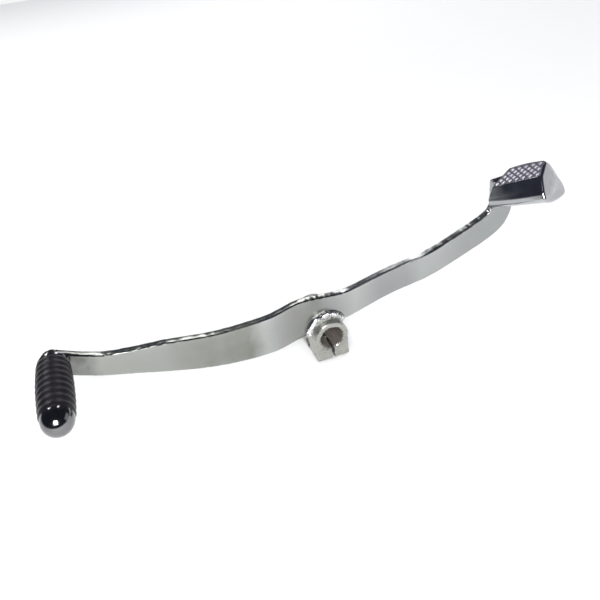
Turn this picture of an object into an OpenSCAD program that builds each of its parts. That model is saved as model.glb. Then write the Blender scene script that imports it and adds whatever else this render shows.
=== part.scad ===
// Motorcycle gear shift lever, heel-and-toe pattern, for the left side.
// X runs from the toe peg to the heel pad, Z is up, and -Y is outboard.
// The origin is the shaft axis at the inboard face of the clamp boss.

/* [Shaft clamp] */
// Diameter of the splined shaft that the boss grips
bore_d = 12; // [11:0.5:13]
// Outside diameter of the round part of the boss
boss_d = 18; // [17:0.5:20]
// Length of the boss along the shaft
boss_len = 30; // [28:1:34]
// Width of the clamp ears
ear_w = 17.5; // [16:0.5:18]
// Depth of the clamp ears below the shaft axis
ear_drop = 13; // [12.5:0.5:15]
// Width of the slit between the ears
slit_w = 1.5; // [1:0.25:2]
// Number of splines in the bore
spline_count = 24; // [18:2:30]

/* [Arm] */
// Thickness of the flat bar
bar_t = 4; // [3.5:0.5:5]
// Distance from the inboard face of the boss to the middle of the bar
bar_y = 21; // [19:1:22]
// Outboard step of the toe arm
toe_step = 3.5; // [0:0.5:5]
// Outboard step of the heel arm
heel_step = 2.5; // [0:0.5:4]

/* [Toe peg] */
// Diameter of the pin inside the rubber
pin_d = 7; // [6:0.5:8]
// Diameter of the rubber over its ribs
rubber_d = 15.5; // [15:0.5:18]
// Length of the rubber
rubber_len = 34.5; // [30:0.5:42]
// Number of ribs on the rubber
rib_count = 9; // [6:1:10]
// Height of the domed end
dome_h = 8; // [7.5:0.5:10]

/* [Heel pad] */
// Length of the pad
pad_len = 27; // [22:1:32]
// Turn of the pad towards the rear
pad_yaw = 32; // [20:1:36]
// Rise of the pad towards its outer end
pad_rise = 26; // [15:1:30]
// Forward lean of the tread
pad_lean = 12; // [5:1:18]

/* [Pinch bolt] */
// Thread diameter
bolt_d = 5; // [4.5:0.1:5]
// Distance of the bolt below the shaft axis
bolt_drop = 9.1; // [9.1:0.1:9.4]
// Length under the head
bolt_len = 16; // [13:1:16]

/* [Hidden] */
$fn = 64;
eps = 0.01;

// Middle line of the bar seen from the side: x, z and the width across it.
ARM = [
    [-127.8, 30.8, 11], [-110, 22.9, 11], [-95, 19.2, 13.2], [-80, 16, 16.4], [-59, 11.5, 18.6],
    [-38, 9.9, 20.6], [-13, 10.9, 21.4], [0, 11.4, 18.4], [13, 12.2, 15.4], [30, 16.1, 14.2],
    [60, 23.1, 13.6], [79, 29.6, 13.6], [88.2, 33.2, 13.6], [96.2, 37.6, 13.4], [100.1, 44.3, 12.2],
    [100, 51.5, 11.6], [99.6, 59, 11.4]
];
arm_steps = 4;
toe_arc_steps = 16;
peg_x = ARM[0][0];
peg_z = ARM[0][1];
toe_r = ARM[0][2] / 2;
heel_end = ARM[len(ARM) - 1];
toe_bend = [-31, -11];
heel_bend = [34, 60];
bend_steps = 8;

boss_r = boss_d / 2;
ear_round = 0.8;
bore_chamfer = 0.5;
spline_depth = 0.45;
spline_w = 0.7;
spline_mouth = 0.2;
slit_top = -bore_d / 4;

bar_front = bar_y + bar_t / 2;
bar_back = bar_y - bar_t / 2;
toe_front = bar_front + toe_step;
heel_front = bar_front + heel_step;

weld_w = 3;
weld_h = 2.6;
weld_back = 0.8;
weld_sink = 1.2;
weld_r = 3.4;
weld_start = 20;
weld_sweep = 160;

washer_t = 1.5;
washer_r = 6.8;
dome_r = 6.7;
dome_step = 0.5;
rib_depth = 0.7;
rib_pitch = rubber_len / rib_count;
rib_foot = 0.42 * rib_pitch;
rib_crest = 0.16 * rib_pitch;
tail_r = 5;
tail_h = 1.4;
tail_bevel = 0.7;

bolt_y = -16.5;
bolt_fit = 0.05;
bolt_clearance = 0.25;
head_af = 8;
head_h = 3.5;
ring_t = 1.2;
ring_r = 4.4;
ring_gap = 1.2;
spot_depth = 1.5;
spot_r = 5.2;
ear_face = ear_w / 2 - spot_depth;

// Inner front top corner of the heel pad, on the outboard face of the bar.
pad_x = 93.8;
pad_z = 56.6;
pad_root = 4;
pad_waist = 14;
clear = 50;
// The bead under the pad's root: where it starts, its length, radius and slope.
bead_start = [95.4, 45.6];
bead_len = 9;
bead_r = 2.2;
bead_slope = 16;
// Sections of the pad seen along its length: the flat tread is on top.
PAD_INNER = [[-0.4, -0.6], [7.6, 2.2], [8.8, -1], [8.6, -7], [7.5, -10], [5, -11.4], [-0.3, -10.5]];
PAD_MIDDLE = [[-2.6, 1.2], [7.8, 3.8], [9, 0.6], [9.6, -7.5], [9.4, -12.5], [6.5, -14], [-4.5, -11.5],
              [-6, -8], [-5, -2.5]];
PAD_OUTER = [[-4.2, 1.6], [6, 3.2], [8.4, -0.6], [9.9, -8.2], [10.2, -15.2], [8, -16.8], [0.2, -14.8],
             [-8.6, -10.6], [-10, -6], [-8.4, -2]];

// A smooth step from 0 to 1 between a and b.
function ease(a, b, x) = let (t = max(0, min(1, (x - a) / (b - a)))) t * t * (3 - 2 * t);
// How far the bar stands outboard of its middle plane at the hub.
function step_out(x) = toe_step * (1 - ease(toe_bend[0], toe_bend[1], x))
    + heel_step * ease(heel_bend[0], heel_bend[1], x);
// Catmull-Rom interpolation through four stations.
function blend(a, b, c, d, t) = 0.5 * (2 * b + (c - a) * t + (2 * a - 5 * b + 4 * c - d) * t * t
    + (3 * b - a - 3 * c + d) * t * t * t);
function station(i) = ARM[max(0, min(len(ARM) - 1, i))];
ARM_LINE = concat([for (i = [0 : len(ARM) - 2]) for (k = [0 : arm_steps - 1])
    blend(station(i - 1), station(i), station(i + 1), station(i + 2), k / arm_steps)], [heel_end]);
last = len(ARM_LINE) - 1;
// The point on one edge of the bar: side is 1 above and -1 below.
function edge(i, side) = let (
    a = ARM_LINE[max(0, i - 1)],
    b = ARM_LINE[min(last, i + 1)],
    d = [b[0] - a[0], b[1] - a[1]],
    n = [-d[1], d[0]] / norm(d),
    p = ARM_LINE[i]
) [p[0], p[1]] + side * n * p[2] / 2;
// The half circle round the peg, from the lower edge to the upper edge.
toe_turn = atan2(ARM_LINE[1][1] - ARM_LINE[0][1], ARM_LINE[1][0] - ARM_LINE[0][0]);
TOE_ARC = [for (k = [1 : toe_arc_steps - 1]) let (a = toe_turn + 270 - 180 * k / toe_arc_steps)
    [peg_x + toe_r * cos(a), peg_z + toe_r * sin(a)]];
// Places along X where the bar's plan view has a corner.
function steps_of(bend) = [for (k = [0 : bend_steps]) bend[0] + (bend[1] - bend[0]) * k / bend_steps];
BEND_X = concat([-150], steps_of(toe_bend), steps_of(heel_bend), [120]);

// Lays an outline drawn in X and Z down at depth y1, and thickens it to y2, both outboard.
module plate(y1, y2) {
    translate([0, -y1, 0]) rotate([90, 0, 0]) linear_extrude(y2 - y1) children();
}

module arm_outline() {
    polygon(concat([for (i = [0 : last]) edge(i, 1)], [for (i = [last : -1 : 0]) edge(i, -1)], TOE_ARC));
}

module bar_band() {
    polygon(concat([for (x = BEND_X) [x, -bar_front - step_out(x)]],
        [for (i = [len(BEND_X) - 1 : -1 : 0]) [BEND_X[i], -bar_back - step_out(BEND_X[i])]]));
}

module boss_outline() {
    circle(boss_r);
    translate([-ear_w / 2, -ear_drop + ear_round]) square([ear_w, ear_drop - ear_round]);
    translate([-ear_w / 2 + ear_round, -ear_drop]) square([ear_w - 2 * ear_round, ear_round]);
    for (side = [-1, 1]) translate([side * (ear_w / 2 - ear_round), -ear_drop + ear_round]) circle(ear_round);
}

module lever_arm() {
    color("gainsboro") difference() {
        intersection() {
            plate(0, 2 * bar_y) arm_outline();
            translate([0, 0, -20]) linear_extrude(100) bar_band();
        }
        plate(bar_back - 1, bar_front + 1) boss_outline();
        plate(bar_back, toe_front + 1) translate([peg_x, peg_z]) circle(d = pin_d);
    }
}

module spline_groove() {
    inner = bore_d / 2 - spline_mouth;
    polygon([[inner, -spline_w / 2], [bore_d / 2 + spline_depth, 0], [inner, spline_w / 2]]);
}

module bore_mouth() {
    translate([0, 0, -bore_chamfer])
        cylinder(h = bore_chamfer + eps, r1 = bore_d / 2, r2 = bore_d / 2 + bore_chamfer);
}

module clamp_boss() {
    color("silver") difference() {
        plate(0, boss_len) boss_outline();
        plate(-1, boss_len + 1) circle(d = bore_d);
        for (i = [0 : spline_count - 1])
            plate(-1, boss_len + 1) rotate(i * 360 / spline_count) spline_groove();
        for (end = [0, 1])
            translate([0, -end * boss_len, 0]) rotate([end * 180 - 90, 0, 0]) bore_mouth();
        plate(-1, boss_len + 1)
            translate([-slit_w / 2, -ear_drop - 1]) square([slit_w, ear_drop + 1 + slit_top]);
        translate([0, bolt_y, -bolt_drop]) rotate([0, 90, 0]) {
            cylinder(h = ear_w, d = bolt_d + 2 * bolt_clearance);
            translate([0, 0, -ear_w]) cylinder(h = ear_w, d = bolt_d + 2 * bolt_fit);
            translate([0, 0, ear_face]) cylinder(h = ear_w, r = spot_r);
        }
    }
}

// The bead of a fillet weld round the upper part of the boss.
module boss_weld() {
    rotate([90, 0, 0]) rotate([0, 0, weld_start]) rotate_extrude(angle = weld_sweep)
        intersection() {
            translate([boss_r, 0]) square([weld_w, weld_h]);
            translate([boss_r - weld_back, -weld_sink]) circle(weld_r);
        }
}

module boss_weld_front() {
    color("whitesmoke") translate([0, -bar_front, 0]) boss_weld();
}

module boss_weld_back() {
    color("whitesmoke") translate([0, -bar_back, 0]) mirror([0, 1, 0]) boss_weld();
}

// Turns a profile drawn as radius and outboard distance about the axis of the toe peg.
module on_peg() {
    translate([peg_x, 0, peg_z]) rotate([90, 0, 0]) rotate_extrude() children();
}

module toe_pin() {
    dome_base = toe_front + washer_t + rubber_len;
    tail_face = toe_front - bar_t;
    color("silver") on_peg() {
        translate([0, tail_face - tail_h])
            polygon([[0, 0], [tail_r - tail_bevel, 0], [tail_r, tail_bevel], [tail_r, tail_h], [0, tail_h]]);
        translate([0, tail_face]) square([pin_d / 2, dome_base - tail_face]);
        translate([0, dome_base]) square([dome_r, dome_h - dome_r + dome_step]);
        translate([0, dome_base + dome_h - dome_r]) intersection() {
            circle(dome_r);
            square(dome_r + 1);
        }
    }
}

module toe_washer() {
    color("silver") on_peg() translate([pin_d / 2, toe_front]) square([washer_r - pin_d / 2, washer_t]);
}

module toe_rubber() {
    rubber_base = toe_front + washer_t;
    core_r = rubber_d / 2 - rib_depth;
    color("dimgray") on_peg() {
        translate([pin_d / 2, rubber_base]) square([core_r - pin_d / 2, rubber_len]);
        for (i = [0 : rib_count - 1]) translate([core_r - eps, rubber_base + (i + 0.5) * rib_pitch])
            polygon([[0, -rib_foot], [rib_depth, -rib_crest], [rib_depth, rib_crest], [0, rib_foot]]);
    }
}

module pad_frame() {
    translate([pad_x, -heel_front, pad_z])
        rotate([0, 0, pad_yaw]) rotate([-pad_rise, 0, 0]) rotate([0, -pad_lean, 0]) children();
}

module pad_solid() {
    pad_frame() hull() {
        plate(-pad_root, 0) polygon(PAD_INNER);
        plate(pad_waist, pad_waist + 1) polygon(PAD_MIDDLE);
        plate(pad_len - 1, pad_len) polygon(PAD_OUTER);
    }
}

module outboard_of_arm() {
    translate([pad_x - clear, -heel_front - 2 * clear, pad_z - clear]) cube(2 * clear);
}

module heel_pad() {
    color("lightsteelblue") intersection() {
        pad_solid();
        outboard_of_arm();
    }
}

module heel_weld() {
    color("whitesmoke") difference() {
        intersection() {
            translate([bead_start[0], -heel_front, bead_start[1]])
                rotate([0, 90 - bead_slope, 0]) cylinder(h = bead_len, r = bead_r);
            outboard_of_arm();
        }
        pad_solid();
    }
}

module bolt_frame() {
    translate([ear_face + ring_t, bolt_y, -bolt_drop]) rotate([0, 90, 0]) children();
}

module pinch_bolt() {
    color("darkgray") bolt_frame() {
        cylinder(h = head_h, d = head_af / cos(30), $fn = 6);
        translate([0, 0, -bolt_len]) cylinder(h = bolt_len + 1, d = bolt_d);
    }
}

module spring_washer() {
    color("gray") bolt_frame() translate([0, 0, -ring_t]) difference() {
        cylinder(h = ring_t, r = ring_r);
        translate([0, 0, -1]) cylinder(h = ring_t + 2, d = bolt_d + 2 * bolt_fit);
        translate([0, -ring_gap / 2, -1]) cube([ring_r + 1, ring_gap, ring_t + 2]);
    }
}

lever_arm();
clamp_boss();
boss_weld_front();
boss_weld_back();
toe_pin();
toe_washer();
toe_rubber();
heel_pad();
heel_weld();
pinch_bolt();
spring_washer();
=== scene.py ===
"""Gear shift lever for a motorcycle: a flat bar on a splined boss, with a toe peg and a heel pad."""
import math

import bmesh
import bpy
from mathutils import Matrix, Vector, noise


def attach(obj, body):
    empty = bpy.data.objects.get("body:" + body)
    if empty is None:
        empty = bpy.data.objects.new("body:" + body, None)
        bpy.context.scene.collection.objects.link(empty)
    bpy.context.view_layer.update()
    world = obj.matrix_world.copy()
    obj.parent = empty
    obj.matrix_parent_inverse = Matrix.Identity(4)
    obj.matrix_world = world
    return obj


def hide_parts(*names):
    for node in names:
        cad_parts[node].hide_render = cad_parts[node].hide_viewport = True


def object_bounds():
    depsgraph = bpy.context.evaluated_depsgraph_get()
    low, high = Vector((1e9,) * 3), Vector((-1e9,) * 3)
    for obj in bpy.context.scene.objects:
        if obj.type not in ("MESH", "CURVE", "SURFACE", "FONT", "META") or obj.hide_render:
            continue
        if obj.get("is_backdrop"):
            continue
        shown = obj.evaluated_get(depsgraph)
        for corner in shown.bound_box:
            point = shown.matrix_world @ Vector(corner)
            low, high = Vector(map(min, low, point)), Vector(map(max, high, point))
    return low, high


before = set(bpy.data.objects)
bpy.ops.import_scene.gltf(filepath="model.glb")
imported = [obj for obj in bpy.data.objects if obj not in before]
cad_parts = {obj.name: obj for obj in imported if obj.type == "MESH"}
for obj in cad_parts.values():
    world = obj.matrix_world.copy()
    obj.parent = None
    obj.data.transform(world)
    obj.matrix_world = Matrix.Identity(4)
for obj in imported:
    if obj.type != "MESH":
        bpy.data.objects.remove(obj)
cad_low, cad_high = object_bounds()

# ---------------------------------------------------------------- flat bar
# One length of flat mild steel, sheared to its outline, set outboard twice on a press and ground.
# It's chrome plated after welding, so the plate follows the grinding and is cloudy in places.
MM = 0.001
BAR_THICK = 4.0
BAR_HUB_FRONT = 23.0
TOE_STEP = 3.5
HEEL_STEP = 2.5
TOE_BEND = (-31.0, -11.0)
HEEL_BEND = (34.0, 60.0)
# Middle line of the bar from the side: x, z and the width across it, in millimetres.
BAR_LINE = [
    (-127.8, 30.8, 11), (-110, 22.9, 11), (-95, 19.2, 13.2), (-80, 16, 16.4), (-59, 11.5, 18.6),
    (-38, 9.9, 20.6), (-13, 10.9, 21.4), (0, 11.4, 18.4), (13, 12.2, 15.4), (30, 16.1, 14.2),
    (60, 23.1, 13.6), (79, 29.6, 13.6), (88.2, 33.2, 13.6), (96.2, 37.6, 13.4), (100.1, 44.3, 12.2),
    (100, 51.5, 11.6), (99.6, 59, 11.4),
]
BAR_STEPS = 14
BAR_STRIPS = 10
BAR_EDGE = 0.7
TOE_END_STEP = 12
TOE_END_RINGS = 7
HEEL_END_ROUND = 0.5
# The sheared edges are rough within this band: its width, how deep it is and how fine.
SHEAR_BAND = 0.5
SHEAR_DEPTH = 0.2
SHEAR_GRAIN = 0.8
# The boss's outer radius, and the radius of the notch that the bar has for it.
BOSS_R = 9.0
NOTCH_R = 8.5
QUARTER_ROUND = [math.radians(a) for a in (0, 30, 60, 90)]


def linear(hex_colour):
    """Turns an sRGB hex colour into linear RGBA."""
    parts = [int(hex_colour[i:i + 2], 16) / 255 for i in (1, 3, 5)]
    return [p / 12.92 if p <= 0.04045 else ((p + 0.055) / 1.055) ** 2.4 for p in parts] + [1.0]


def add(tree, kind, inputs=None, **settings):
    """Adds one node. An input is a value, or the socket that it's linked from."""
    made = tree.nodes.new(kind)
    for key, value in settings.items():
        setattr(made, key, value)
    for key, value in (inputs or {}).items():
        if isinstance(value, bpy.types.NodeSocket):
            tree.links.new(value, made.inputs[key])
        else:
            made.inputs[key].default_value = value
    return made


def new_finish(name):
    """An empty material and its node tree."""
    finish = bpy.data.materials.new(name)
    finish.use_nodes = True
    finish.node_tree.nodes.clear()
    return finish, finish.node_tree


def skin(rings, loop=False):
    """Joins rings of points into one closed surface. A loop joins the last ring to the first."""
    around = len(rings[0])
    points = [p for ring in rings for p in ring]
    faces = []
    for i in range(len(rings) if loop else len(rings) - 1):
        a = i * around
        b = (i + 1) % len(rings) * around
        faces += [(a + k, a + (k + 1) % around, b + (k + 1) % around, b + k) for k in range(around)]
    if not loop:
        faces.append(tuple(reversed(range(around))))
        faces.append(tuple(range(len(points) - around, len(points))))
    return points, faces


def join_shells(*shells):
    """Puts several closed surfaces into one list of points and faces."""
    points, faces = [], []
    for more_points, more_faces in shells:
        start = len(points)
        points += more_points
        faces += [tuple(start + k for k in face) for face in more_faces]
    return points, faces


def new_piece(name, shell, finishes, crease=32, body="lever", replaces=()):
    """Makes a piece from a surface in millimetres, rides it on its body and hides the CAD parts that it
    replaces.
    """
    mesh = bpy.data.meshes.new(name)
    work = bmesh.new()
    corners = [work.verts.new(Vector(p) * MM) for p in shell[0]]
    for face in shell[1]:
        work.faces.new([corners[k] for k in face])
    bmesh.ops.remove_doubles(work, verts=work.verts, dist=0.002 * MM)
    bmesh.ops.recalc_face_normals(work, faces=work.faces)
    work.to_mesh(mesh)
    work.free()
    mesh.polygons.foreach_set("use_smooth", [True] * len(mesh.polygons))
    mesh.set_sharp_from_angle(angle=math.radians(crease))
    for finish in finishes:
        mesh.materials.append(finish)
    made = bpy.data.objects.new(name, mesh)
    bpy.context.scene.collection.objects.link(made)
    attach(made, body)
    if replaces:
        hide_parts(*replaces)
    return made


def ease(a, b, x):
    """A smooth step from 0 to 1 between a and b."""
    t = max(0.0, min(1.0, (x - a) / (b - a)))
    return t * t * (3 - 2 * t)


def bar_front(x):
    """How far the bar's outer face stands outboard of the boss's inner end, at this x."""
    return BAR_HUB_FRONT + TOE_STEP * (1 - ease(*TOE_BEND, x)) + HEEL_STEP * ease(*HEEL_BEND, x)


def through(a, b, c, d, t):
    """Catmull-Rom curve between b and c."""
    square = 2 * a - 5 * b + 4 * c - d
    cube = 3 * b - a - 3 * c + d
    return 0.5 * (2 * b + (c - a) * t + square * t * t + cube * t ** 3)


def bar_stations():
    """Points along the middle line with the unit direction across the bar and its half width."""
    line = []
    for i in range(len(BAR_LINE) - 1):
        four = [Vector(BAR_LINE[max(0, min(len(BAR_LINE) - 1, i + k))]) for k in (-1, 0, 1, 2)]
        line += [through(*four, k / BAR_STEPS) for k in range(BAR_STEPS)]
    line.append(Vector(BAR_LINE[-1]))
    stations = []
    for i, here in enumerate(line):
        ahead = line[min(i + 1, len(line) - 1)] - line[max(i - 1, 0)]
        along = Vector((ahead.x, ahead.y)).normalized()
        stations.append((Vector((here.x, here.y)), along, here.z / 2))
    return stations


def bar_section(middle, along, half, shrink=0.0):
    """One rounded cross-section of the bar, as points in millimetres."""
    across = Vector((-along.y, along.x))
    edge = min(BAR_EDGE, 0.8 * half)
    half -= shrink
    deep = BAR_THICK - shrink
    ring = []

    def put(u, d):
        spot = middle + across * u
        if spot.length < NOTCH_R and u < 0:
            reach = middle.dot(across)
            u = math.sqrt(NOTCH_R ** 2 - (middle.length_squared - reach ** 2)) - reach
            spot = middle + across * u
        if abs(u) > half - SHEAR_BAND:
            grain = noise.noise(Vector((spot.x, spot.y, d)) * SHEAR_GRAIN)
            spot = spot + across * (grain * SHEAR_DEPTH)
        ring.append((spot.x, -bar_front(spot.x) + d, spot.y))

    for k in range(BAR_STRIPS + 1):
        put(-half + edge + (2 * half - 2 * edge) * k / BAR_STRIPS, shrink)
    for a in QUARTER_ROUND[1:]:
        put(half - edge + edge * math.sin(a), shrink + edge - edge * math.cos(a))
    for a in QUARTER_ROUND[:-1]:
        put(half - edge + edge * math.cos(a), deep - edge + edge * math.sin(a))
    for k in range(BAR_STRIPS + 1):
        put(half - edge - (2 * half - 2 * edge) * k / BAR_STRIPS, deep)
    for a in QUARTER_ROUND[1:]:
        put(-half + edge - edge * math.sin(a), deep - edge + edge * math.cos(a))
    for a in QUARTER_ROUND[:-1]:
        put(-half + edge - edge * math.cos(a), shrink + edge - edge * math.sin(a))
    return ring


def flat_bar():
    """The whole bar: a half-round toe end, the long sweep, and the square heel end."""
    stations = bar_stations()
    middle, along, half = stations[0]
    rings = []
    for k in range(TOE_END_RINGS, 0, -1):
        t = math.radians(TOE_END_STEP * k)
        rings.append(bar_section(middle - along * half * math.sin(t), along, half * math.cos(t)))
    rings += [bar_section(*station) for station in stations]
    middle, along, half = stations[-1]
    for t in QUARTER_ROUND[1:]:
        beyond = middle + along * HEEL_END_ROUND * math.sin(t)
        rings.append(bar_section(beyond, along, half, HEEL_END_ROUND * (1 - math.cos(t))))
    return skin(rings)


# Chrome plate over ground mild steel: a clear mirror, softened by faint grinding lines and cloud.
# Its base colour is painted with the light: lighter and darker bands along the bar are painted
# reflections, and the dark toe end is painted shadow and reflection of the peg.
BAR_PAINTED_LIGHT_BANDS = [
    (-135, "#565654"), (-119, "#5c5c59"), (-113, "#686965"), (-106, "#989a94"), (-80, "#9a9c97"),
    (-65, "#8a8b85"), (-50, "#8a8b85"), (-38, "#82847b"), (-30, "#b2b5b2"), (-22, "#9fa09f"),
    (-15, "#92938e"), (-3, "#82837f"), (8, "#979897"), (20, "#b3b4b3"), (34, "#98999a"),
    (48, "#989999"), (56, "#aaadac"), (67, "#a8aaa9"), (82, "#9a9d9c"), (120, "#989b9a"),
]
CLOUD_SIZE = 9.0
GRIND_PITCH = 0.35
GRIND_TURN = -12
GRIND_STRETCH = 0.06
BAND_WAVER = 6
bar_finish, tree = new_finish("chrome_plate_on_ground_bar")
place = add(tree, "ShaderNodeTexCoord")
cloud = add(tree, "ShaderNodeTexNoise", {
    "Vector": place.outputs["Object"], "Scale": 1 / (CLOUD_SIZE * MM), "Detail": 4.0, "Roughness": 0.6})
lines_space = add(tree, "ShaderNodeMapping", {
    "Vector": place.outputs["Object"],
    "Rotation": (0, math.radians(GRIND_TURN), 0), "Scale": (GRIND_STRETCH, 1, 1)})
lines = add(tree, "ShaderNodeTexNoise", {
    "Vector": lines_space.outputs[0], "Scale": 1 / (GRIND_PITCH * MM), "Detail": 2.0})
along_bar = add(tree, "ShaderNodeSeparateXYZ", {0: place.outputs["Object"]})
waver = add(tree, "ShaderNodeMath", {0: cloud.outputs[0], 1: BAND_WAVER * MM}, operation="MULTIPLY")
band_at = add(tree, "ShaderNodeMath", {0: along_bar.outputs["X"], 1: waver.outputs[0]}, operation="ADD")
share = add(tree, "ShaderNodeMapRange", {
    "Value": band_at.outputs[0], "From Min": BAR_PAINTED_LIGHT_BANDS[0][0] * MM, "From Max": BAR_PAINTED_LIGHT_BANDS[-1][0] * MM})
# The ramp's stops are the painted reflections along the bar and the painted shadow at its toe end.
bands = add(tree, "ShaderNodeValToRGB", {0: share.outputs[0]})
ramp = bands.color_ramp.elements
for x, _ in BAR_PAINTED_LIGHT_BANDS[1:-1]:
    ramp.new((x - BAR_PAINTED_LIGHT_BANDS[0][0]) / (BAR_PAINTED_LIGHT_BANDS[-1][0] - BAR_PAINTED_LIGHT_BANDS[0][0]))
for stop, (_, shade) in zip(ramp, BAR_PAINTED_LIGHT_BANDS):
    stop.color = linear(shade)
mottle = add(tree, "ShaderNodeMapRange", {"Value": cloud.outputs[0], "From Min": 0.3, "From Max": 0.7,
                                          "To Min": 0.0, "To Max": 0.35})
plate = add(tree, "ShaderNodeMix", {
    0: mottle.outputs[0], 6: bands.outputs[0], 7: linear("#a6a8a6")}, data_type="RGBA")
dull = add(tree, "ShaderNodeMapRange", {"Value": cloud.outputs[0], "From Min": 0.3, "From Max": 0.7,
                                        "To Min": 0.14, "To Max": 0.26})
relief = add(tree, "ShaderNodeBump", {"Height": lines.outputs[0], "Strength": 0.06, "Distance": 0.05 * MM})
cloudy = add(tree, "ShaderNodeBump", {"Height": cloud.outputs[0], "Strength": 0.12, "Distance": 0.3 * MM,
                                      "Normal": relief.outputs[0]})
metal = add(tree, "ShaderNodeBsdfPrincipled", {
    "Base Color": plate.outputs[2], "Metallic": 1.0, "Roughness": dull.outputs[0],
    "Normal": cloudy.outputs[0]})
add(tree, "ShaderNodeOutputMaterial", {"Surface": metal.outputs[0]})

bar = new_piece("flat_bar", flat_bar(), [bar_finish], replaces=["lever_arm"])

# ---------------------------------------------------------------- clamp boss
# A short steel sleeve with two ears, milled from bar stock, broached with splines for the shift
# shaft, slit through the bottom and drilled across for the pinch bolt. It's welded into the bar.
BOSS_LEN = 30.0
BORE_R = 6.0
SPLINES = 24
SPLINE_DEPTH = 0.45
SPLINE_HALF_DEG = 2.3
SLIT_HALF = 0.75
EAR_HALF = 8.75
EAR_BOTTOM = -13.0
EAR_ROUND = 1.0
MOUTH = 0.5
BOSS_EDGE = 0.8
# The slit's broken edge, then points up its wall and the points of the ear that they're joined to.
SLIT_EDGE = 0.2
SLIT_LOW = -11.4
SLIT_MID = -10.4
SLIT_RISE = 0.4
SLIT_HIGH = -7.4
EAR_UNDER = 4.2
EAR_SIDE = -9.0
EAR_WAIST = -7.0
EAR_ROUND_STEPS = 4
# The pinch bolt's axis, the floor of its spot face, and the holes that it goes through.
BOLT_Y = -16.5
BOLT_Z = -9.1
EAR_FACE = 7.25
SPOT_R = 5.2
CLEAR_R = 2.75
TAP_R = 2.55
HOLE_SIDES = 48
HOLE_CREASE = 28


def boss_half():
    """Matching inner and outer points up the right half of the boss, from the slit to the top."""
    foot = (SLIT_HALF + SLIT_EDGE, EAR_BOTTOM)
    pairs = [((SLIT_HALF, EAR_BOTTOM + SLIT_EDGE), (1, 0), foot, (0, -1), SLIT_EDGE)]
    pairs.append(((SLIT_HALF, SLIT_LOW), (1, 0), (EAR_UNDER, EAR_BOTTOM), (0, -1), SLIT_EDGE))
    for k in range(EAR_ROUND_STEPS + 1):
        a = math.radians(-90 + 90 / EAR_ROUND_STEPS * k)
        turn = (math.cos(a), math.sin(a))
        outer = (EAR_HALF - EAR_ROUND + EAR_ROUND * turn[0], EAR_BOTTOM + EAR_ROUND + EAR_ROUND * turn[1])
        pairs.append(((SLIT_HALF, SLIT_MID + SLIT_RISE * k), (1, 0), outer, turn, SLIT_EDGE))
    pairs.append(((SLIT_HALF, SLIT_HIGH), (1, 0), (EAR_HALF, EAR_SIDE), (1, 0), SLIT_EDGE))
    start = -90 + math.degrees(math.asin(SLIT_HALF / BORE_R))
    angles = [start]
    for i in range(-SPLINES // 4, SPLINES // 4 + 1):
        groove = i * 360 / SPLINES
        for a in (groove - SPLINE_HALF_DEG, groove, groove + SPLINE_HALF_DEG, groove + 180 / SPLINES):
            if start < a <= 90:
                angles.append(a)
    side = math.degrees(math.acos(EAR_HALF / BOSS_R))
    for a in angles:
        t = math.radians(a)
        away = (math.cos(t), math.sin(t))
        in_groove = abs((a + 180 / SPLINES) % (360 / SPLINES) - 180 / SPLINES) < 0.01
        r = BORE_R + (SPLINE_DEPTH if in_groove else 0.0)
        if a < -side:
            waist_to_round = -EAR_WAIST - BOSS_R * math.sin(math.radians(side))
            z = EAR_WAIST + waist_to_round * (a - start) / (-side - start)
            outer, facing = (EAR_HALF, z), (1, 0)
        else:
            outer, facing = (BOSS_R * away[0], BOSS_R * away[1]), away
        pairs.append(((r * away[0], r * away[1]), away, outer, facing, MOUTH))
    return pairs


def boss_shell():
    """Sweeps the wall's section from one side of the slit, over the top, to the other side."""
    half = boss_half()
    flip = [tuple((-p[0], p[1]) for p in pair[:4]) + pair[4:] for pair in reversed(half[:-1])]
    rings = []
    for inner, into, outer, facing, mouth in half + flip:
        inner, into, outer, facing = map(Vector, (inner, into, outer, facing))
        ring = []
        for end, inward in ((-BOSS_LEN, 1), (0.0, -1)):
            wall = [(inner, mouth), (inner + into * mouth, 0)]
            rim = [(outer - facing * BOSS_EDGE * (1 - math.sin(a)), BOSS_EDGE * (1 - math.cos(a)))
                   for a in QUARTER_ROUND]
            spots = wall + rim if inward > 0 else list(reversed(wall + rim))
            ring += [(p.x, end + inward * d, p.y) for p, d in spots]
        rings.append(ring)
    return skin(rings)


def cut_with(target, cutters):
    """Takes round holes on the bolt's axis out of a piece: each is its radius and its two ends in x."""
    for r, x0, x1 in cutters:
        work = bmesh.new()
        bmesh.ops.create_cone(work, cap_ends=True, segments=HOLE_SIDES, radius1=r * MM, radius2=r * MM,
                              depth=(x1 - x0) * MM)
        mesh = bpy.data.meshes.new("cutter")
        work.to_mesh(mesh)
        work.free()
        tool = bpy.data.objects.new("cutter", mesh)
        bpy.context.scene.collection.objects.link(tool)
        tool.matrix_world = (Matrix.Translation(Vector(((x0 + x1) / 2, BOLT_Y, BOLT_Z)) * MM)
                             @ Matrix.Rotation(math.pi / 2, 4, "Y"))
        cut = target.modifiers.new("hole", "BOOLEAN")
        cut.operation = "DIFFERENCE"
        cut.object = tool
        cut.solver = "EXACT"
        bpy.context.view_layer.update()
        solved = target.evaluated_get(bpy.context.evaluated_depsgraph_get())
        done = bpy.data.meshes.new_from_object(solved)
        target.modifiers.clear()
        target.data = done
        bpy.data.objects.remove(tool)
    target.data.polygons.foreach_set("use_smooth", [True] * len(target.data.polygons))
    target.data.set_sharp_from_angle(angle=math.radians(HOLE_CREASE))


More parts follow.
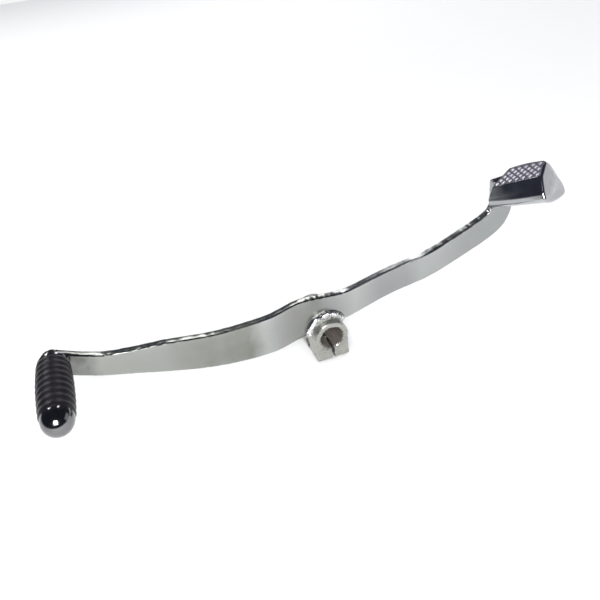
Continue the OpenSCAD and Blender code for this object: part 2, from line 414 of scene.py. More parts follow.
# Chrome plate over a milled sleeve: duller and a little warmer than the bar, with faint cutter marks.
CUTTER_PITCH = 0.5
boss_finish, tree = new_finish("chrome_plate_on_milled_boss")
place = add(tree, "ShaderNodeTexCoord")
stain = add(tree, "ShaderNodeTexNoise", {
    "Vector": place.outputs["Object"], "Scale": 1 / (5 * MM), "Detail": 5.0, "Roughness": 0.65})
marks = add(tree, "ShaderNodeTexWave", {
    "Vector": place.outputs["Object"], "Scale": 0.05 / (CUTTER_PITCH * MM), "Distortion": 1.5,
    "Detail": 2.0}, bands_direction="Y")
plate = add(tree, "ShaderNodeMix", {
    0: stain.outputs[0], 6: linear("#91918b"), 7: linear("#b4b4ae")}, data_type="RGBA")
dull = add(tree, "ShaderNodeMapRange", {"Value": stain.outputs[0], "From Min": 0.3, "From Max": 0.7,
                                        "To Min": 0.2, "To Max": 0.38})
relief = add(tree, "ShaderNodeBump", {"Height": marks.outputs[1], "Strength": 0.08, "Distance": 0.03 * MM})
pitted = add(tree, "ShaderNodeBump", {"Height": stain.outputs[0], "Strength": 0.2, "Distance": 0.3 * MM,
                                      "Normal": relief.outputs[0]})
metal = add(tree, "ShaderNodeBsdfPrincipled", {
    "Base Color": plate.outputs[2], "Metallic": 0.8, "Roughness": dull.outputs[0],
    "Normal": pitted.outputs[0]})
add(tree, "ShaderNodeOutputMaterial", {"Surface": metal.outputs[0]})

# The broached bore isn't plated inside: it's bare steel, brown with old grease.
bore_finish, tree = new_finish("greasy_broached_steel")
place = add(tree, "ShaderNodeTexCoord")
grease = add(tree, "ShaderNodeTexNoise", {
    "Vector": place.outputs["Object"], "Scale": 1 / (2 * MM), "Detail": 5.0, "Roughness": 0.65})
film = add(tree, "ShaderNodeMix", {
    0: grease.outputs[0], 6: linear("#7f7670"), 7: linear("#c6bfb8")}, data_type="RGBA")
relief = add(tree, "ShaderNodeBump", {"Height": grease.outputs[0], "Strength": 0.2, "Distance": 0.1 * MM})
metal = add(tree, "ShaderNodeBsdfPrincipled", {
    "Base Color": film.outputs[2], "Metallic": 0.7, "Roughness": 0.38, "Normal": relief.outputs[0]})
add(tree, "ShaderNodeOutputMaterial", {"Surface": metal.outputs[0]})

boss = new_piece("clamp_boss_sleeve", boss_shell(), [boss_finish, bore_finish],
                 replaces=["clamp_boss"])
cut_with(boss, [
    (CLEAR_R, 0.0, EAR_HALF + 1), (SPOT_R, EAR_FACE, EAR_HALF + 3), (TAP_R, -EAR_HALF - 1, 0.0)])
for face in boss.data.polygons:
    from_axis = math.hypot(face.center.x, face.center.z)
    if from_axis < (BORE_R + SPLINE_DEPTH) * MM and abs(face.normal.y) < 0.5:
        face.material_index = 1

# ---------------------------------------------------------------- weld beads
# Fillet welds laid by hand round the top of the boss on both faces of the bar, and under the root
# of the heel pad. They're plated over, so they're bright, lumpy and rippled.
BEAD_FROM = 20
BEAD_TO = 180
BEAD_OUT = 3.0
BEAD_UP = 2.6
BEAD_STEPS = 150
BEAD_ROUND = 14
BEAD_TIP = 0.35
BEAD_GROWTH = 10
BEAD_ROOT_IN = 0.5
BEAD_ROOT_DEEP = 0.4
BEAD_FULLNESS = 0.8
BEAD_SUNK = 0.2
# The weld's ripples and their bow, and two sizes of lump: how high they are and how close.
RIPPLE = 1.1
RIPPLE_HIGH = 0.26
RIPPLE_BOW = 0.9
LUMP_HIGH = 0.34
LUMP_CLOSE = 0.8
SPATTER_HIGH = 0.2
SPATTER_CLOSE = 2.2
LUMP_STRETCH = 0.7
LUMP_WRAP = 3.1


def boss_bead(face, side):
    """A bead from the bar's face (its distance outboard), standing towards side, round the boss."""
    rings = []
    for i in range(BEAD_STEPS + 1):
        a = math.radians(BEAD_FROM + (BEAD_TO - BEAD_FROM) * i / BEAD_STEPS)
        run = BOSS_R * (a - math.radians(BEAD_FROM))
        taper = min(1.0, BEAD_TIP + BEAD_GROWTH * min(i, BEAD_STEPS - i) / BEAD_STEPS)
        ring = []
        for k in range(BEAD_ROUND + 1):
            t = math.pi / 2 * k / BEAD_ROUND
            spot = Vector((run * LUMP_STRETCH, LUMP_WRAP * k / BEAD_ROUND, side))
            bowed = run - RIPPLE_BOW * math.sin(2 * t)
            lump = RIPPLE_HIGH * abs(math.sin(math.pi * bowed / RIPPLE))
            lump += LUMP_HIGH * noise.noise(spot * LUMP_CLOSE)
            lump += SPATTER_HIGH * noise.noise(spot * SPATTER_CLOSE)
            r = BOSS_R - BEAD_SUNK + (BEAD_OUT * taper + lump) * math.cos(t) ** BEAD_FULLNESS
            h = (BEAD_UP * taper + lump) * math.sin(t) ** BEAD_FULLNESS - BEAD_SUNK
            ring.append((r * math.cos(a), -face - side * h, r * math.sin(a)))
        root_r = BOSS_R - BEAD_ROOT_IN
        ring.append((root_r * math.cos(a), -face + side * BEAD_ROOT_DEEP, root_r * math.sin(a)))
        rings.append(ring)
    return skin(rings)


# Chrome plate over weld metal: a bright, uneven mirror that breaks up what it reflects.
weld_finish, tree = new_finish("chrome_plate_on_weld_bead")
place = add(tree, "ShaderNodeTexCoord")
scale_marks = add(tree, "ShaderNodeTexNoise", {
    "Vector": place.outputs["Object"], "Scale": 1 / (0.9 * MM), "Detail": 4.0, "Roughness": 0.6})
plate = add(tree, "ShaderNodeMix", {
    0: scale_marks.outputs[0], 6: linear("#a8a9a8"), 7: linear("#f2f2f2")}, data_type="RGBA")
relief = add(tree, "ShaderNodeBump", {"Height": scale_marks.outputs[0], "Strength": 0.6,
                                      "Distance": 0.3 * MM})
metal = add(tree, "ShaderNodeBsdfPrincipled", {
    "Base Color": plate.outputs[2], "Metallic": 1.0, "Roughness": 0.12, "Normal": relief.outputs[0]})
add(tree, "ShaderNodeOutputMaterial", {"Surface": metal.outputs[0]})

new_piece("boss_bead_outboard", boss_bead(BAR_HUB_FRONT, 1), [weld_finish], crease=60,
          replaces=["boss_weld_front"])
new_piece("boss_bead_inboard", boss_bead(BAR_HUB_FRONT - BAR_THICK, -1), [weld_finish], crease=60,
          replaces=["boss_weld_back"])

# ---------------------------------------------------------------- toe pin
# A turned steel pin with a domed outer end, pushed through the bar's toe end and spun over on the
# inboard side. The dome is polished and bright chrome plated.
TOE_FRONT = BAR_HUB_FRONT + TOE_STEP
PEG_X, PEG_Z = BAR_LINE[0][:2]
PIN_R = 3.5
WASHER_T = 1.5
RUBBER_LEN = 34.5
RUBBER_END = TOE_FRONT + WASHER_T + RUBBER_LEN
DOME_R = 6.7
DOME_H = 8.0
DOME_LIP = 0.3
TAIL_R = 5.0
TAIL_H = 1.4
TURNED = 72
# The spun tail from its middle to its rim: radius, and height above its inboard end.
TAIL_SHAPE = [(0, 0.5), (1.6, 0.45), (2.4, 0.1), (3.0, 0), (4.1, 0), (4.7, 0.25), (TAIL_R, 0.7)]
TAIL_EDGE = 0.1
DOME_STEPS = 18


def turned(profile):
    """Turns a profile of radius and outboard distance about the peg's axis."""
    rings = []
    for r, out in profile:
        rings.append([(PEG_X + r * math.cos(2 * math.pi * k / TURNED), -out,
                       PEG_Z + r * math.sin(2 * math.pi * k / TURNED)) for k in range(TURNED)])
    return rings


def pin_profile():
    """The pin from its spun tail to the top of its dome."""
    tail = TOE_FRONT - BAR_THICK
    profile = [(r, tail - TAIL_H + high) for r, high in TAIL_SHAPE]
    profile += [(TAIL_R, tail - TAIL_EDGE), (TAIL_R - TAIL_EDGE, tail), (PIN_R, tail)]
    profile += [(PIN_R, RUBBER_END), (DOME_R - DOME_LIP, RUBBER_END), (DOME_R, RUBBER_END + DOME_LIP)]
    for k in range(1, DOME_STEPS + 1):
        a = math.radians(90 / DOME_STEPS * k)
        profile.append((DOME_R * math.cos(a), RUBBER_END + DOME_LIP + (DOME_H - DOME_LIP) * math.sin(a)))
    profile[-1] = (0, RUBBER_END + DOME_H)
    return profile


# Bright chrome plate on a polished turning: a sharp mirror with only a trace of haze.
pin_finish, tree = new_finish("bright_chrome_on_turned_pin")
place = add(tree, "ShaderNodeTexCoord")
haze = add(tree, "ShaderNodeTexNoise", {
    "Vector": place.outputs["Object"], "Scale": 1 / (2.5 * MM), "Detail": 4.0})
plate = add(tree, "ShaderNodeMix", {
    0: haze.outputs[0], 6: linear("#707071"), 7: linear("#848485")}, data_type="RGBA")
dull = add(tree, "ShaderNodeMapRange", {"Value": haze.outputs[0], "From Min": 0.3, "From Max": 0.7,
                                        "To Min": 0.07, "To Max": 0.15})
relief = add(tree, "ShaderNodeBump", {"Height": haze.outputs[0], "Strength": 0.05, "Distance": 0.2 * MM})
metal = add(tree, "ShaderNodeBsdfPrincipled", {
    "Base Color": plate.outputs[2], "Metallic": 1.0, "Roughness": dull.outputs[0],
    "Normal": relief.outputs[0]})
add(tree, "ShaderNodeOutputMaterial", {"Surface": metal.outputs[0]})

new_piece("toe_pin_turned", skin(turned(pin_profile())), [pin_finish],
          replaces=["toe_pin"])

# ---------------------------------------------------------------- toe washer
# A plain plated steel washer between the bar and the rubber, with its edges broken.
WASHER_R = 6.8
WASHER_EDGE = 0.25
washer_profile = [
    (PIN_R, TOE_FRONT), (WASHER_R - WASHER_EDGE, TOE_FRONT), (WASHER_R, TOE_FRONT + WASHER_EDGE),
    (WASHER_R, TOE_FRONT + WASHER_T - WASHER_EDGE), (WASHER_R - WASHER_EDGE, TOE_FRONT + WASHER_T),
    (PIN_R, TOE_FRONT + WASHER_T),
]
new_piece("toe_washer_ring", skin(turned(washer_profile), loop=True), [pin_finish],
          replaces=["toe_washer"])

# ---------------------------------------------------------------- toe rubber
# A moulded black rubber sleeve pushed over the pin, with nine round ribs for the boot's toe.
RUBBER_R = 7.75
RIBS = 9
RIB_DEPTH = 0.42
RIB_STEPS = 14
END_TAPER = 0.64
LIP_DROP = 0.6


def rubber_profile():
    """Out along the ribs, round the outer lip, and back down the bore."""
    start = TOE_FRONT + WASHER_T
    pitch = RUBBER_LEN / RIBS
    lip_r = RUBBER_R - RIB_DEPTH - LIP_DROP
    profile = [(PIN_R, start), (lip_r, start)]
    for k in range(1, RIBS * RIB_STEPS):
        wave = math.sin(math.pi * k / RIB_STEPS) ** 2
        from_middle = 2 * k / (RIBS * RIB_STEPS) - 1
        r = RUBBER_R - END_TAPER * from_middle ** 2 - RIB_DEPTH * (1 - wave)
        profile.append((r, start + pitch * k / RIB_STEPS))
    profile += [(lip_r, start + RUBBER_LEN), (PIN_R, start + RUBBER_LEN)]
    return profile


# Moulded black rubber: deep black with a low sheen, faint mould bloom and a fine skin.
rubber_finish, tree = new_finish("moulded_black_rubber")
place = add(tree, "ShaderNodeTexCoord")
bloom = add(tree, "ShaderNodeTexNoise", {
    "Vector": place.outputs["Object"], "Scale": 1 / (6 * MM), "Detail": 5.0, "Roughness": 0.6})
grain = add(tree, "ShaderNodeTexNoise", {
    "Vector": place.outputs["Object"], "Scale": 1 / (0.5 * MM), "Detail": 3.0})
black = add(tree, "ShaderNodeMix", {
    0: bloom.outputs[0], 6: linear("#0c090d"), 7: linear("#1a161c")}, data_type="RGBA")
dull = add(tree, "ShaderNodeMapRange", {"Value": bloom.outputs[0], "From Min": 0.3, "From Max": 0.7,
                                        "To Min": 0.36, "To Max": 0.46})
relief = add(tree, "ShaderNodeBump", {"Height": grain.outputs[0], "Strength": 0.06, "Distance": 0.1 * MM})
sleeve = add(tree, "ShaderNodeBsdfPrincipled", {
    "Base Color": black.outputs[2], "Roughness": dull.outputs[0], "IOR": 1.46,
    "Normal": relief.outputs[0]})
add(tree, "ShaderNodeOutputMaterial", {"Surface": sleeve.outputs[0]})

new_piece("toe_rubber_sleeve", skin(turned(rubber_profile()), loop=True), [rubber_finish], crease=50,
          replaces=["toe_rubber"])

# ---------------------------------------------------------------- heel pad
# A solid forged pad welded to the outboard face of the bar. Its convex sides are smooth and its
# tread is pressed into staggered studs. It's chrome plated with the bar.
HEEL_FRONT = BAR_HUB_FRONT + HEEL_STEP
PAD_X = 93.8
PAD_Z = 56.6
PAD_YAW = 32
PAD_RISE = 26
PAD_LEAN = 12
PAD_LEN = 27.0
PAD_PLACES = (-4.0, 14.0, 27.0)
# Four sides of the pad's section at its root, middle and end: tread, rear, underside and front.
PAD_TREAD = (((0.3, -0.4), (7.6, 2.2)), ((-2.6, 1.2), (7.8, 3.8)), ((-4.2, 1.4), (5.4, 3.5)))
PAD_REAR = (((8.8, -1), (8.6, -7)), ((9, 0.6), (9.6, -7.5)), ((8.4, -0.6), (9.9, -8.2)))
PAD_UNDER = (((7.5, -10), (5, -11.4), (-1.2, -10.4)), ((9.9, -13), (6.8, -14.8), (-3, -12)),
             ((10.9, -15.4), (7.6, -18), (-4.4, -13.8)))
PAD_FRONT = (((-4.2, -8.4), (-4, -6), (-2.6, -4.1), (-0.8, -1.9)),
             ((-8.8, -8.4), (-8.6, -5.9), (-6.9, -3.6), (-4.6, -0.9)),
             ((-10.7, -8.8), (-10.4, -5.8), (-8.8, -3.6), (-6.5, -0.8)))
SIDE_STEPS = 8
PAD_RINGS = 40
PAD_ROUND = 1.5
PAD_SUNK = 0.3
TREAD_STEPS = 16
STUD_PITCH = 3.5
STUD_ROW = STUD_PITCH / 2 + 0.1
STUD_FIRST = 2.0
STUD_HIGH = 0.55
STUD_MARGIN = 1.6
STUD_SPARE = 0.4
# A stud from its sunk foot to its worn top: half its width, and height above the tread.
STUD_SHAPE = ((1.5, -0.4), (1.45, 0.0), (0.8, STUD_HIGH), (0.6, STUD_HIGH + 0.08))
pad_axes = (Matrix.Rotation(math.radians(PAD_YAW), 4, "Z")
            @ Matrix.Rotation(math.radians(-PAD_RISE), 4, "X")
            @ Matrix.Rotation(math.radians(-PAD_LEAN), 4, "Y"))
pad_corner = Vector((PAD_X, -HEEL_FRONT, PAD_Z))


def pad_spot(s, out, h):
    """A point of the pad: s across, out along its length, h up from the tread's inner corner."""
    return pad_corner + pad_axes @ Vector((s, -out, h))


def pad_mix(key_points, out):
    """Blends matching points of the three sections on one smooth curve along the pad."""
    a, b, c = PAD_PLACES
    shares = ((out - b) * (out - c) / ((a - b) * (a - c)), (out - a) * (out - c) / ((b - a) * (b - c)),
              (out - a) * (out - b) / ((c - a) * (c - b)))
    return [sum((Vector(p) * share for p, share in zip(trio, shares)), Vector((0, 0)))
            for trio in zip(*key_points)]


def pad_section(out, shrink=0.0):
    """The closed outline of the pad at this distance: a flat tread and three rounded sides."""
    tread = pad_mix(PAD_TREAD, out)
    rest = pad_mix(PAD_REAR, out) + pad_mix(PAD_UNDER, out) + pad_mix(PAD_FRONT, out)
    left, right = tread
    outline = [left.lerp(right, k / TREAD_STEPS) for k in range(TREAD_STEPS)]
    corners = [right] + rest + [left]
    for i in range(len(corners) - 1):
        four = [corners[max(0, min(len(corners) - 1, i + k))] for k in (-1, 0, 1, 2)]
        outline += [through(*four, k / SIDE_STEPS) for k in range(SIDE_STEPS)]
    centre = sum(outline, Vector((0, 0))) / len(outline)
    inset = [p - (p - centre).normalized() * shrink for p in outline]
    return [pad_spot(p.x, out, p.y) for p in inset]


def pad_body():
    """The pad without its studs, cut off flat just inside the bar's outer face."""
    root = PAD_PLACES[0]
    straight = PAD_LEN - PAD_ROUND - root
    rings = [pad_section(root + straight * i / PAD_RINGS) for i in range(PAD_RINGS + 1)]
    for a in (20, 40, 60, 80, 90):
        t = math.radians(a)
        rings.append(pad_section(PAD_LEN - PAD_ROUND * (1 - math.sin(t)), PAD_ROUND * (1 - math.cos(t))))
    points, faces = skin(rings)
    work = bmesh.new()
    corners = [work.verts.new(p) for p in points]
    for face in faces:
        work.faces.new([corners[k] for k in face])
    plane_at = Vector((0, -HEEL_FRONT + PAD_SUNK, 0))
    bmesh.ops.bisect_plane(work, geom=work.verts[:] + work.edges[:] + work.faces[:], plane_co=plane_at,
                           plane_no=Vector((0, 1, 0)), clear_outer=True)
    bmesh.ops.holes_fill(work, edges=work.edges, sides=0)
    work.verts.index_update()
    shell = ([v.co.copy() for v in work.verts], [tuple(v.index for v in f.verts) for f in work.faces])
    work.free()
    return shell


def studs():
    """Staggered four-sided studs over the tread, each a small truncated pyramid sunk into the pad."""
    shells = []
    row = 0
    out = STUD_FIRST
    while out < PAD_LEN - STUD_MARGIN:
        left, right = pad_mix(PAD_TREAD, out)
        wide = (right - left).length
        run = (right - left).normalized()
        up = Vector((-run.y, run.x))
        across = STUD_MARGIN + (STUD_PITCH / 2 if row % 2 else 0)
        while across < wide - STUD_MARGIN + STUD_SPARE:
            middle = left + run * across
            across += STUD_PITCH
            if pad_spot(middle.x, out, middle.y).y > -HEEL_FRONT - STUD_MARGIN / 2:
                continue
            rings = []
            for size, high in STUD_SHAPE:
                ring = []
                for ds, dl in ((1, 0), (0, 1), (-1, 0), (0, -1)):
                    p = middle + run * ds * size + up * high
                    ring.append(pad_spot(p.x, out + dl * size, p.y))
                rings.append(ring)
            shells.append(skin(rings))
        row += 1
        out += STUD_ROW
    return shells


# Chrome plate on a forging: smooth and dark where it reflects the room, with a slight ripple.
pad_finish, tree = new_finish("chrome_plate_on_forged_pad")
place = add(tree, "ShaderNodeTexCoord")
ripple = add(tree, "ShaderNodeTexNoise", {
    "Vector": place.outputs["Object"], "Scale": 1 / (6 * MM), "Detail": 3.0})
plate = add(tree, "ShaderNodeMix", {
    0: ripple.outputs[0], 6: linear("#a6a7a9"), 7: linear("#babbbd")}, data_type="RGBA")
dull = add(tree, "ShaderNodeMapRange", {"Value": ripple.outputs[0], "From Min": 0.3, "From Max": 0.7,
                                        "To Min": 0.08, "To Max": 0.18})
relief = add(tree, "ShaderNodeBump", {"Height": ripple.outputs[0], "Strength": 0.15, "Distance": 0.4 * MM})
metal = add(tree, "ShaderNodeBsdfPrincipled", {
    "Base Color": plate.outputs[2], "Metallic": 1.0, "Roughness": dull.outputs[0],
    "Normal": relief.outputs[0]})
add(tree, "ShaderNodeOutputMaterial", {"Surface": metal.outputs[0]})

# The tread's plate is rubbed satin by boots, and the flat between the studs is painted darker as painted
# shade.
tread_finish, tree = new_finish("worn_satin_chrome_tread")
place = add(tree, "ShaderNodeTexCoord")
rub = add(tree, "ShaderNodeTexNoise", {
    "Vector": place.outputs["Object"], "Scale": 1 / (1.2 * MM), "Detail": 4.0, "Roughness": 0.6})
plate = add(tree, "ShaderNodeMix", {
    0: rub.outputs[0], 6: linear("#6d6a74"), 7: linear("#a19ea8")}, data_type="RGBA")
relief = add(tree, "ShaderNodeBump", {"Height": rub.outputs[0], "Strength": 0.2, "Distance": 0.1 * MM})
metal = add(tree, "ShaderNodeBsdfPrincipled", {
    "Base Color": plate.outputs[2], "Metallic": 0.6, "Roughness": 0.36, "Normal": relief.outputs[0]})
add(tree, "ShaderNodeOutputMaterial", {"Surface": metal.outputs[0]})
# Painted shade: the recessed flat between the studs is painted darker.
painted_shade_finish, tree = new_finish("painted_shade_between_studs")
place = add(tree, "ShaderNodeTexCoord")
shade_mottle = add(tree, "ShaderNodeTexNoise", {
    "Vector": place.outputs["Object"], "Scale": 1 / (0.8 * MM), "Detail": 5.0, "Roughness": 0.65})
painted_shade = add(tree, "ShaderNodeMix", {
    0: shade_mottle.outputs[0], 6: linear("#37363c"), 7: linear("#66646c")}, data_type="RGBA")
relief = add(tree, "ShaderNodeBump", {"Height": shade_mottle.outputs[0], "Strength": 0.3, "Distance": 0.1 * MM})
film = add(tree, "ShaderNodeBsdfPrincipled", {
    "Base Color": painted_shade.outputs[2], "Metallic": 0.3, "Roughness": 0.5, "Normal": relief.outputs[0]})
add(tree, "ShaderNodeOutputMaterial", {"Surface": film.outputs[0]})

body = pad_body()
pad = new_piece("heel_pad_forging", join_shells(body, *studs()), [pad_finish, tread_finish, painted_shade_finish],
                crease=35, replaces=["heel_pad"])
# Studs stand clear of the tread's plane and get the satin plate. The flat between them gets the painted
# shade.
TREAD_RIM = 0.3
TREAD_CLEAR = 0.05
TREAD_FACING = 0.9
tread_up = pad_axes.to_3x3() @ Vector((-0.2, 0, 1)).normalized()
for face in pad.data.polygons:
    local = pad_axes.inverted() @ (face.center / MM - pad_corner)
    left, right = pad_mix(PAD_TREAD, -local.y)
    above = (local.z - left.y) - (local.x - left.x) * (right.y - left.y) / (right.x - left.x)
    inside = left.x + TREAD_RIM < local.x < right.x - TREAD_RIM
    if above > TREAD_CLEAR:
        face.material_index = 1
    elif inside and face.normal.dot(tread_up) > TREAD_FACING:
        face.material_index = 2

# ---------------------------------------------------------------- heel weld
# A short bead under the root of the pad, where it stands on the bar.
HEEL_BEAD_AT = (95.4, 45.6)
HEEL_BEAD_LEN = 9.0
HEEL_BEAD_R = 2.0
HEEL_BEAD_SLOPE = 16
HEEL_BEAD_STEPS = 40
HEEL_BEAD_SIDES = 24
HEEL_RIPPLE_HIGH = 0.15
HEEL_LUMP_HIGH = 0.25
HEEL_LUMP_CLOSE = 0.9


def heel_bead():
    """A lumpy rod that tapers at both ends and is half sunk into the bar."""
    slope = math.radians(HEEL_BEAD_SLOPE)
    along = Vector((math.cos(slope), 0, math.sin(slope)))
    up = Vector((-math.sin(slope), 0, math.cos(slope)))
    start = Vector((HEEL_BEAD_AT[0], -HEEL_FRONT, HEEL_BEAD_AT[1]))
    rings = []
    for i in range(HEEL_BEAD_STEPS + 1):
        t = i / HEEL_BEAD_STEPS
        r = HEEL_BEAD_R * max(0.15, math.sin(math.pi * t)) ** 0.4
        ring = []
        for k in range(HEEL_BEAD_SIDES):
            a = 2 * math.pi * k / HEEL_BEAD_SIDES
            turn = Vector((0, math.cos(a), 0)) + up * math.sin(a)
            lump = HEEL_RIPPLE_HIGH * abs(math.sin(math.pi * HEEL_BEAD_LEN * t / RIPPLE))
            lump += HEEL_LUMP_HIGH * noise.noise((along * t * HEEL_BEAD_LEN + turn) * HEEL_LUMP_CLOSE)
            ring.append(start + along * HEEL_BEAD_LEN * t + turn * (r + lump))
        rings.append(ring)
    return skin(rings)


new_piece("heel_pad_bead", heel_bead(), [weld_finish], crease=60,
          replaces=["heel_weld"])

# ---------------------------------------------------------------- pinch bolt
# A bright zinc plated M5 hexagon screw with a 0.8 mm pitch. It's put in from the heel side, where
# its head sits in a spot face, and it's screwed into the tapped ear on the toe side.
HEAD_AT = 8.45
HEAD_H = 3.5
HEAD_AF = 8.0
SCREW_R = 2.5
SCREW_LEN = 16.0
THREAD_PITCH = 0.8
THREAD_DEPTH = 0.42
THREAD_STEPS = 8
THREAD_STOP = 1.6
THREAD_CREST = 1.2
POINT_R = 1.7
POINT_LEN = 0.5
NECK_LEN = 0.4
# The raised ring that the head bears on, and the head's turned chamfer as heights and radii.
SEAT_R = 3.7
SEAT_H = 0.2
HEAD_CHAMFER = ((2.9, 4.62), (3.1, 4.35), (3.3, 4.05), (HEAD_H, 3.75))
SCREW_SIDES = 48


def along_bolt(r_of, x):
    """A ring about the screw's axis: r_of gives the radius for each angle."""
    ring = []
    for k in range(SCREW_SIDES):
        a = 2 * math.pi * k / SCREW_SIDES
        ring.append((x, BOLT_Y + r_of(a) * math.cos(a), BOLT_Z + r_of(a) * math.sin(a)))
    return ring


def hex_r(a):
    """Distance from the axis to the hexagon's flats at this angle."""
    return HEAD_AF / 2 / math.cos((a + math.pi / 6) % (math.pi / 3) - math.pi / 6)


def thread_r(a, x):
    """The thread's ridge and root, as a helix."""
    phase = (x / THREAD_PITCH + a / (2 * math.pi)) % 1
    return SCREW_R - THREAD_DEPTH * abs(2 * phase - 1) ** THREAD_CREST


def screw_shell():
    """The screw from its point to the top of its head."""
    point = HEAD_AT - SCREW_LEN
    rings = [along_bolt(lambda a: 0.0, point), along_bolt(lambda a: POINT_R, point)]
    steps = int((SCREW_LEN - THREAD_STOP) / THREAD_PITCH * THREAD_STEPS)
    for i in range(steps + 1):
        x = point + POINT_LEN + i * THREAD_PITCH / THREAD_STEPS
        rings.append(along_bolt(lambda a: thread_r(a, x), x))
    rings.append(along_bolt(lambda a: SCREW_R, HEAD_AT - NECK_LEN))
    rings.append(along_bolt(lambda a: SCREW_R, HEAD_AT))
    rings.append(along_bolt(lambda a: SEAT_R, HEAD_AT))
    rings.append(along_bolt(lambda a: SEAT_R, HEAD_AT + SEAT_H))
    rings.append(along_bolt(hex_r, HEAD_AT + SEAT_H + 0.05))
    for high, cone in HEAD_CHAMFER:
        rings.append(along_bolt(lambda a: min(hex_r(a), cone), HEAD_AT + high))
    rings.append(along_bolt(lambda a: 0.0, HEAD_AT + HEAD_H))
    return skin(rings)


# Bright zinc plate on a rolled and headed screw: a soft blue-grey sheen with a little dirt.
zinc_finish, tree = new_finish("bright_zinc_on_screw")
place = add(tree, "ShaderNodeTexCoord")
dirt = add(tree, "ShaderNodeTexNoise", {
    "Vector": place.outputs["Object"], "Scale": 1 / (1.5 * MM), "Detail": 5.0, "Roughness": 0.65})
plate = add(tree, "ShaderNodeMix", {
    0: dirt.outputs[0], 6: linear("#8d8f92"), 7: linear("#bfc2c6")}, data_type="RGBA")
dull = add(tree, "ShaderNodeMapRange", {"Value": dirt.outputs[0], "From Min": 0.3, "From Max": 0.7,
                                        "To Min": 0.22, "To Max": 0.42})
relief = add(tree, "ShaderNodeBump", {"Height": dirt.outputs[0], "Strength": 0.15, "Distance": 0.1 * MM})
metal = add(tree, "ShaderNodeBsdfPrincipled", {
    "Base Color": plate.outputs[2], "Metallic": 1.0, "Roughness": dull.outputs[0],
    "Normal": relief.outputs[0]})
add(tree, "ShaderNodeOutputMaterial", {"Surface": metal.outputs[0]})

new_piece("pinch_screw", screw_shell(), [zinc_finish], crease=30, body="bolt",
          replaces=["pinch_bolt"])

# ---------------------------------------------------------------- spring washer
# A split ring of spring steel under the screw's head, flattened as it is when the screw is tight.
RING_T = 1.2
RING_R = 4.4
RING_BORE = 2.55
RING_GAP_DEG = 16
RING_STEPS = 72
RING_EDGE = 0.2


def split_ring():
    """Sweeps a small rounded rectangle round the screw, and leaves the gap."""
    rings = []
    inner, outer = RING_BORE, RING_R
    low, high = HEAD_AT - RING_T, HEAD_AT
    edge = RING_EDGE
    section = [(inner + edge, low), (outer - edge, low), (outer, low + edge), (outer, high - edge),
               (outer - edge, high), (inner + edge, high), (inner, high - edge), (inner, low + edge)]
    for i in range(RING_STEPS + 1):
        a = math.radians(RING_GAP_DEG / 2 + (360 - RING_GAP_DEG) * i / RING_STEPS)
        rings.append([(x, BOLT_Y + r * math.sin(a), BOLT_Z + r * math.cos(a)) for r, x in section])
    return skin(rings)


new_piece("split_spring_washer", split_ring(), [zinc_finish], body="washer",
          replaces=["spring_washer"])

# ---------------------------------------------------------------- studio
# A plain pale sheet under the lever, and five soft lights: a very wide one overhead that the plate
# doesn't mirror, a small one beside the camera, a strip and a small square one behind, and a low one
# beyond the heel end. The camera sees a pale backdrop, but the plate mirrors a dim room.
FLOOR_HALF = 1.7
FIBRE_SIZE = 25
floor_mesh = bpy.data.meshes.new("floor")
floor_z = cad_low.z
corners = [(-FLOOR_HALF, -FLOOR_HALF, floor_z), (FLOOR_HALF, -FLOOR_HALF, floor_z),
           (FLOOR_HALF, FLOOR_HALF, floor_z), (-FLOOR_HALF, FLOOR_HALF, floor_z)]
floor_mesh.from_pydata(corners, [], [(0, 1, 2, 3)])
floor = bpy.data.objects.new("floor", floor_mesh)
bpy.context.scene.collection.objects.link(floor)
floor_finish, tree = new_finish("matt_white_paper")
place = add(tree, "ShaderNodeTexCoord")
fibre = add(tree, "ShaderNodeTexNoise", {
    "Vector": place.outputs["Object"], "Scale": 1 / (FIBRE_SIZE * MM), "Detail": 3.0})
white = add(tree, "ShaderNodeMix", {
    0: fibre.outputs[0], 6: linear("#f7f7f7"), 7: linear("#fafafa")}, data_type="RGBA")
paper = add(tree, "ShaderNodeBsdfPrincipled", {"Base Color": white.outputs[2], "Roughness": 0.9})
add(tree, "ShaderNodeOutputMaterial", {"Surface": paper.outputs[0]})
floor_mesh.materials.append(floor_finish)
floor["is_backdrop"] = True

ROOM_FRONT = "#3a3d49"
ROOM_BACK = "#54565d"
ROOM_LOW = "#8c8e92"
BACKDROP = "#f6f6f6"
# How far up the low colour reaches, and where front turns to back: both as parts of a unit direction.
LOW_TO = 0.12
BACK_FROM = 0.35
BACK_TO = 0.9
world = bpy.data.worlds.new("dim_room")
bpy.context.scene.world = world
world.use_nodes = True
tree = world.node_tree
tree.nodes.clear()
sky = add(tree, "ShaderNodeTexCoord")
split = add(tree, "ShaderNodeSeparateXYZ", {0: sky.outputs["Generated"]})
rise = add(tree, "ShaderNodeMapRange", {"Value": split.outputs["Z"], "From Min": 0.0, "From Max": LOW_TO},
           interpolation_type="SMOOTHSTEP")
depth = add(tree, "ShaderNodeMapRange", {
    "Value": split.outputs["Y"], "From Min": BACK_FROM, "From Max": BACK_TO},
    interpolation_type="SMOOTHSTEP")
high = add(tree, "ShaderNodeMix", {0: depth.outputs[0], 6: linear(ROOM_FRONT), 7: linear(ROOM_BACK)},
           data_type="RGBA")
room = add(tree, "ShaderNodeMix", {0: rise.outputs[0], 6: linear(ROOM_LOW), 7: high.outputs[2]},
           data_type="RGBA")
path = add(tree, "ShaderNodeLightPath")
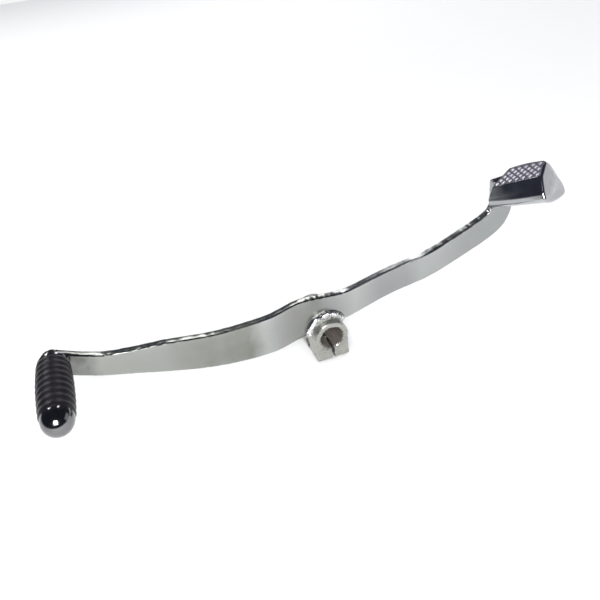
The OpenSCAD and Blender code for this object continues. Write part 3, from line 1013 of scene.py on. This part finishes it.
seen = add(tree, "ShaderNodeMix", {
    0: path.outputs["Is Camera Ray"], 6: room.outputs[2], 7: linear(BACKDROP)}, data_type="RGBA")
glow = add(tree, "ShaderNodeBackground", {"Color": seen.outputs[2], "Strength": 1.0})
add(tree, "ShaderNodeOutputWorld", {"Surface": glow.outputs[0]})


def soft_light(name, place, aim, size, power, mirrored=True):
    """A soft light at place, turned to aim. It shows in the plate only if it's mirrored."""
    lamp = bpy.data.lights.new(name, "AREA")
    lamp.shape = "RECTANGLE"
    lamp.size, lamp.size_y = size
    lamp.energy = power
    held = bpy.data.objects.new(name, lamp)
    held.location = place
    held.rotation_mode = "QUATERNION"
    held.rotation_quaternion = (Vector(aim) - Vector(place)).to_track_quat("-Z", "Y")
    held.visible_glossy = mirrored
    held.visible_camera = False
    bpy.context.scene.collection.objects.link(held)


soft_light("overhead", (0, 0, 2.5), (0, 0, 0), (12.0, 12.0), 365.0, mirrored=False)
soft_light("beside_camera", (-0.16, -0.5, 0.36), (-0.02, 0, 0.02), (0.26, 0.26), 3.2)
soft_light("strip_behind", (0.41, 1.15, 0.85), (0, 0, 0), (0.2, 0.8), 2.4)
soft_light("window_behind", (-0.64, 1.12, 0.86), (-0.13, -0.05, 0.03), (0.3, 0.3), 3.5)
soft_light("card_right", (1.2, -0.15, 0.25), (0.1, -0.05, 0.06), (0.9, 0.7), 1.25)

# ---------------------------------------------------------------- camera
# It looks down at the lever's outboard face from above the toe end.
CAMERA_AT = (-0.08535, -0.26437, 0.19543)
CAMERA_RIGHT = (0.9293, -0.3547, -0.1030)
CAMERA_UP = (0.2814, 0.4993, 0.8194)
camera_data = bpy.data.cameras.new("camera")
camera_data.sensor_width = 36.0
camera_data.lens = 37.5
camera = bpy.data.objects.new("camera", camera_data)
bpy.context.scene.collection.objects.link(camera)
right = Vector(CAMERA_RIGHT)
up = Vector(CAMERA_UP)
turn = Matrix((right, up, right.cross(up))).transposed().to_4x4()
camera.matrix_world = Matrix.Translation(CAMERA_AT) @ turn
bpy.context.scene.camera = camera
bpy.context.scene.view_settings.view_transform = "Standard"

low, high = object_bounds()
